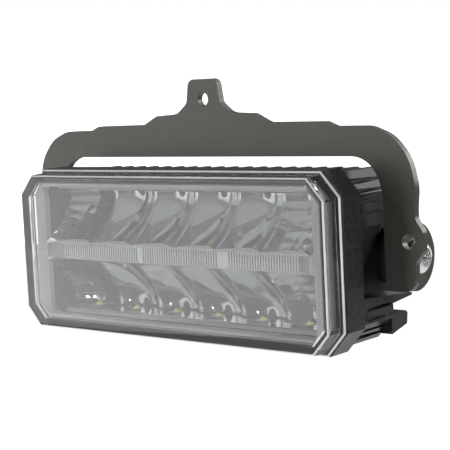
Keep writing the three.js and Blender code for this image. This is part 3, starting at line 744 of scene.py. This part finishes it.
def make_trim():
    front, back = trim_lo[1] / MM, trim_hi[1] / MM
    bm = bmesh.new()
    rows = [(cut_corner_ring(-3.9), back), (cut_corner_ring(-3.9), front + 0.6)]
    rows += [(cut_corner_ring(-4.3), front + 0.1), (cut_corner_ring(-4.9), front)]
    rows += [(rect_ring(1.2), front + 0.7), (rect_ring(0.3), front + 1.0)]
    rows += [(rect_ring(0), front + 1.6), (rect_ring(-0.2), front + 3.0)]
    rows += [(rect_ring(0.8), front + 3.2)]
    rings = [ring_verts(bm, points, y) for points, y in rows]
    for a, b in zip(rings, rings[1:]):
        bridge(bm, a, b)
    obj = new_piece("trim_surround", bm, "lamp", ["trim_frame"])
    add_wall(obj, TRIM_WALL, -1)
    return obj


paint(make_trim(), "trim")
print("trim opening", round(2 * OPEN_W, 1), "x", round(2 * OPEN_H, 1))

# %% [markdown]
# ## Mirror rows
# Each cell is half of a bowl whose focus is near its LED, so the light leaves forwards. The bowls
# meet in ridges. A clear ledge with a scalloped edge falls from each bowl's foot to the light bar.
# The two outer columns are broken into small pillows that spread the beam sideways. One height
# function describes every cell, so a grid of points is all the modelling it takes.

# %% Mirror rows
COLUMNS = 6
CELL = (2 * OPEN_W - 4.8) / COLUMNS
LED_LIFT = OPEN_H - 2.1
SIDE_LAP = 0.4
MIRROR_STEP, MIRROR_WALL = 1.1, 0.6
BAR_HALF, SCALLOP = 3.2, 0.7
LEDGE_FRONT = -25.2
MIRROR_REAR, FOCUS = -4.5, 7.15
PILLOW_W, PILLOW_H, PILLOW_SAG = CELL / 5, 3.7, 0.75


def mirror_depth(x, z, pillows):
    """Depth of the mirror at x from the cell's middle and z from the LED plane, in mm."""
    y = MIRROR_REAR - (x * x + z * z) / (4 * FOCUS)
    if pillows:
        u = (x / PILLOW_W + 0.5) % 1.0 - 0.5
        v = (z / PILLOW_H) % 1.0 - 0.5
        y -= PILLOW_SAG * (0.5 - u * u - v * v)
    return y


def cell_lines(low, high, step):
    """Evenly spaced values from low to high, about a step apart."""
    count = max(2, round((high - low) / step))
    return [low + (high - low) * k / count for k in range(count + 1)]


def on_lamp(x, y, z):
    """A point in mm, with its height taken from the lamp's middle."""
    return Vector((x * MM, y * MM, LENS_MID.z + z * MM))


def add_cell(bm, x0, x1, middle, side, pillows):
    """One bowl as a grid from its LED to its scalloped foot; returns the foot's vertices."""
    xs = cell_lines(x0 - middle, x1 - middle, PILLOW_W / 6 if pillows else MIRROR_STEP)
    zs = cell_lines(0.0, 1.0, (PILLOW_H / 6 if pillows else MIRROR_STEP) / LED_LIFT)
    grid = []
    for part in zs:
        row = []
        for x in xs:
            crest = SCALLOP * math.cos(math.pi * min(abs(x) / CELL, 0.5))
            z = part * (LED_LIFT - BAR_HALF - crest)
            place = (middle + x, mirror_depth(x, z, pillows), side * (LED_LIFT - z))
            row.append(bm.verts.new(on_lamp(*place)))
        grid.append(row)
    for a, b in zip(grid, grid[1:]):
        for i in range(len(xs) - 1):
            bm.faces.new((a[i], a[i + 1], b[i + 1], b[i]))
    return grid[-1]


def add_shelf(bm, edge, side, faces):
    """The ledge that falls from the foot of a bowl to the light bar, highest at the middle."""
    front = [bm.verts.new(on_lamp(v.co.x / MM, LEDGE_FRONT, side * BAR_HALF)) for v in edge]
    for i in range(len(edge) - 1):
        faces.append(bm.faces.new((edge[i], edge[i + 1], front[i + 1], front[i])))


def make_mirror(row, side):
    bm = bmesh.new()
    shelf = []
    for i in range(COLUMNS):
        middle = (i + 0.5 - COLUMNS / 2) * CELL
        x0, x1 = middle - CELL / 2, middle + CELL / 2
        outer = i in (0, COLUMNS - 1)
        if i == 0:
            x0 = -OPEN_W - SIDE_LAP
        if i == COLUMNS - 1:
            x1 = OPEN_W + SIDE_LAP
        add_shelf(bm, add_cell(bm, x0, x1, middle, side, outer), side, shelf)
    for face in shelf:
        face.material_index = 1
    obj = new_piece("mirror_" + row, bm, "lamp", ["reflector_" + row], smooth=12)
    add_wall(obj, MIRROR_WALL, 0)
    paint(obj, "mirror")
    # the ledges take the light guide finish, with its small painted glow
    obj.data.materials.append(FINISH["guide"])
    return obj


for row, side in (("upper", 1), ("lower", -1)):
    piece = make_mirror(row, side)
    print(piece.name, len(piece.data.polygons), "faces")

# %% [markdown]
# ## Mirror floor
# Each row has a flat bright floor in the plane of its LEDs, with a round hole for every LED. It is
# a strip of quads from a ring of points round each hole to the cell's edge, then given thickness.

# %% Mirror floor
HOLE, HOLE_STEPS = 3.1, 24
FLOOR_FRONT, FLOOR_REAR, FLOOR_WALL = 9.0, 6.6, 0.05
FLOOR_LIFT = LED_LIFT + 0.35
led_lo, led_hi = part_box("led_upper_1")
LED_Y = (led_lo[1] + led_hi[1]) / 2 / MM


def make_floor_strip(row, side):
    bm = bmesh.new()
    for i in range(COLUMNS):
        middle = (i + 0.5 - COLUMNS / 2) * CELL
        x0 = -OPEN_W if i == 0 else middle - CELL / 2
        x1 = OPEN_W if i == COLUMNS - 1 else middle + CELL / 2
        inner, outer = [], []
        for k in range(HOLE_STEPS):
            t = 2 * math.pi * k / HOLE_STEPS
            dx, dy = math.cos(t), math.sin(t)
            wide = x1 - middle if dx > 0 else middle - x0
            deep = FLOOR_REAR if dy > 0 else FLOOR_FRONT
            reach = 1 / max(abs(dx) / wide, abs(dy) / deep)
            for ring, far in ((inner, HOLE), (outer, reach)):
                place = (middle + dx * far, LED_Y + dy * far, side * FLOOR_LIFT)
                ring.append(bm.verts.new(on_lamp(*place)))
        bridge(bm, inner, outer)
    obj = new_piece("mirror_floor_" + row, bm, "lamp", [], smooth=0)
    add_wall(obj, FLOOR_WALL, 0)
    paint(obj, "mirror")


for row, side in (("upper", 1), ("lower", -1)):
    make_floor_strip(row, side)
print("floor holes", HOLE * 2, "mm")

# %% [markdown]
# ## LEDs
# Each LED is a pale ceramic package with a yellow phosphor square under a clear silicone dome. The
# package is a chamfered slab and the dome a squashed half sphere that is lofted ring by ring.

# %% LEDs
def add_rings(bm, middle, rings, up, sides):
    """Rings round an upright axis: rows of (radius, height), squarer where sides is 4."""
    rows = []
    for radius, height in rings:
        row = []
        for k in range(sides):
            t = 2 * math.pi * (k + 0.5) / sides
            offset = Vector((radius * math.cos(t), radius * math.sin(t), up * height)) * MM
            row.append(bm.verts.new(middle + offset))
        rows.append(row)
    for a, b in zip(rows, rows[1:]):
        bridge(bm, a, b)
    bm.faces.new(rows[0])
    bm.faces.new(rows[-1])


PACKAGE_SHARE = 0.32
WHITE_PACKAGE, CLEAR_DOME = 1, 2


def make_led(node, up):
    """Package, phosphor square and dome, in the box of one engineering node."""
    low, high = (Vector(v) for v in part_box(node))
    middle = (low + high) / 2
    middle.z = low.z if up > 0 else high.z
    half = (high.x - low.x) / 2 / MM
    tall = (high.z - low.z) / MM
    corner = half * math.sqrt(2)
    bm = bmesh.new()
    base = PACKAGE_SHARE * tall
    package = [(corner, 0), (corner, base * 0.8), (corner - 0.25, base)]
    add_rings(bm, middle, package, up, 4)
    pale = len(bm.faces)
    phosphor = [(half * 0.8, base), (half * 0.8, base + 0.12), (half * 0.7, base + 0.2)]
    add_rings(bm, middle, phosphor, up, 4)
    yellow = len(bm.faces)
    dome = [(half * 0.95 * math.cos(a), base + 0.02 + (tall - base - 0.02) * math.sin(a))
            for a in (k * math.pi / 16 for k in range(8))]
    add_rings(bm, middle, dome, up, 20)
    obj = new_piece("chip_" + node, bm, "lamp", [node], smooth=40)
    paint(obj, "phosphor")
    obj.data.materials.append(FINISH["white_board"])
    obj.data.materials.append(FINISH["dome"])
    for face in obj.data.polygons:
        if face.index < pale:
            face.material_index = WHITE_PACKAGE
        elif face.index >= yellow:
            face.material_index = CLEAR_DOME


for name in sorted(n for n in NODES if n.startswith(("led_upper", "led_lower"))):
    make_led(name, -1 if "upper" in name else 1)
print("LEDs:", sum(n.startswith(("led_upper", "led_lower")) for n in NODES))

# %% [markdown]
# ## Painted hole reflections
# A dark half oval of black nylon stands at the foot of each smooth bowl, behind its LED. It is a
# painted reflection of the LED's hole, not a real part: it follows the bowl, swells a little, and
# the bright floor doubles it.

# %% Painted hole reflections
HOLE_REFLECTION_W, HOLE_REFLECTION_H = 2.0, 3.3


def make_hole_reflections(row, side):
    bm = bmesh.new()
    for i in range(1, COLUMNS - 1):
        middle = (i + 0.5 - COLUMNS / 2) * CELL
        rows = []
        for shrink, proud in ((1.0, 0.15), (0.92, 0.5), (0.6, 0.8), (0.15, 0.95)):
            ring = []
            for k in range(13):
                t = math.pi * k / 12
                x, z = HOLE_REFLECTION_W * shrink * math.cos(t), HOLE_REFLECTION_H * shrink * math.sin(t)
                y = mirror_depth(x, z, False) - proud
                ring.append(bm.verts.new(on_lamp(middle + x, y, side * (LED_LIFT - z))))
            rows.append(ring)
        for a, b in zip(rows, rows[1:]):
            bridge(bm, a, b)
        bm.faces.new(rows[-1])
    obj = new_piece("painted_hole_reflection_" + row, bm, "lamp", [], smooth=50)
    # the black nylon finish here paints the dark reflection of the LED's hole
    paint(obj, "nylon")


for row, side in (("upper", 1), ("lower", -1)):
    make_hole_reflections(row, side)
# counts the painted hole reflections
print("pegs:", 2 * (COLUMNS - 2))

# %% [markdown]
# ## Light bar
# The bar is a clear light guide with fine upright ribs that throw light forwards. Its front is one
# row of flat ribs with V grooves between, pulled up through the bar's height, with two smooth
# breaks and smooth end blocks. The groove walls are given a darker tint that is painted shade, and
# the end blocks take the same darker tint; neither is how the clear plastic is made. A lower lip
# has teeth at half the pitch.

# %% Light bar
bar_lo, bar_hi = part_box("light_bar")
RIB = 1.25
END_LEFT, END_RIGHT = 9.0, 3.5
BREAKS = ((-16.0, -14.4), (25.6, 28.4))
LIP_LOW, LIP_HIGH, BAR_TOP = -3.2, -2.3, 3.1
RIB_PROUD, TOOTH_PROUD = 0.5, 0.3
BAR_FACE = bar_lo[1] / MM + 0.35


def bar_front(low, high, pitch, proud):
    """Front outline (x, y) in mm: flat ribs and V grooves, smooth at the ends and the breaks."""
    points = [(bar_lo[0] / MM, BAR_FACE)]
    x = low
    while x < high:
        points.append((x, BAR_FACE - proud))
        if not any(a - pitch < x < b for a, b in BREAKS):
            points.append((x + pitch * 0.5, BAR_FACE - proud))
            points.append((x + pitch * 0.78, BAR_FACE))
        x += pitch
    points.append((high, BAR_FACE))
    points.append((bar_hi[0] / MM, BAR_FACE))
    return points


def add_bar(bm, front, z0, z1, back):
    """A bar with this front outline and a flat back, from height z0 to z1."""
    outline = front + [(front[-1][0], back), (front[0][0], back)]
    low = [bm.verts.new(on_lamp(x, y, z0)) for x, y in outline]
    high = [bm.verts.new(on_lamp(x, y, z1)) for x, y in outline]
    bridge(bm, low, high)
    bm.faces.new(low)
    bm.faces.new(high)


def make_light_bar():
    bm = bmesh.new()
    back = bar_hi[1] / MM
    left, right = bar_lo[0] / MM + END_LEFT, bar_hi[0] / MM - END_RIGHT
    add_bar(bm, bar_front(left, right, RIB, RIB_PROUD), LIP_HIGH, BAR_TOP, back)
    add_bar(bm, bar_front(left, right, RIB / 2, TOOTH_PROUD), LIP_LOW, LIP_HIGH, back)
    obj = new_piece("ribbed_light_bar", bm, "lamp", ["light_bar"], smooth=30)
    paint(obj, "guide")
    obj.data.materials.append(FINISH["groove"])
    for face in obj.data.polygons:
        # groove walls and end block fronts take the darker tint, painted shade in the grooves
        block = not left < face.center.x / MM < right and face.normal.y < -0.9
        groove = face.center.y < bar_lo[1] + MM and abs(face.normal.x) > 0.5
        if block or groove:
            face.material_index = 1
    return obj


print("light bar", len(make_light_bar().data.polygons), "faces")

# %% [markdown]
# ## Engineering pieces that stay
# The bracket, the housing and the fasteners keep their engineering solids, because those are right
# already. A machined or cast edge always catches light, so each is welded, its flat faces are
# merged, and it gets the small rounded edge of its trade: 0.25 mm on sheet, more on a casting.

# %% Rounded edges
EDGE_WIDTH = {
    "bracket_plate": 0.25, "housing": 0.7, "cable_gland_body": 0.3, "cable_gland_nut": 0.4,
    "vent_plug": 0.3, "pivot_screw_right": 0.12, "pivot_screw_left": 0.12,
    "pivot_washer_right": 0.15, "pivot_washer_left": 0.15, "pivot_spacer_right": 0.4,
    "pivot_spacer_left": 0.4, "light_bar_carrier": 0.2,
}


def round_edges(obj, width):
    """Welds an engineering node's split corners and rounds its edges, leaving its mesh alone."""
    weld = obj.modifiers.new("weld", "WELD")
    weld.merge_threshold = 0.002 * MM
    flat = obj.modifiers.new("flat_faces", "DECIMATE")
    flat.decimate_type = "DISSOLVE"
    flat.angle_limit = math.radians(0.4)
    bevel = obj.modifiers.new("edge", "BEVEL")
    bevel.width = width * MM
    bevel.segments = 2
    bevel.limit_method = "ANGLE"
    bevel.angle_limit = math.radians(28)
    normals = obj.modifiers.new("normals", "WEIGHTED_NORMAL")
    normals.keep_sharp = False
    normals.weight = 100


for name, width in EDGE_WIDTH.items():
    round_edges(NODES[name], width)
print("rounded edges on", len(EDGE_WIDTH), "pieces")
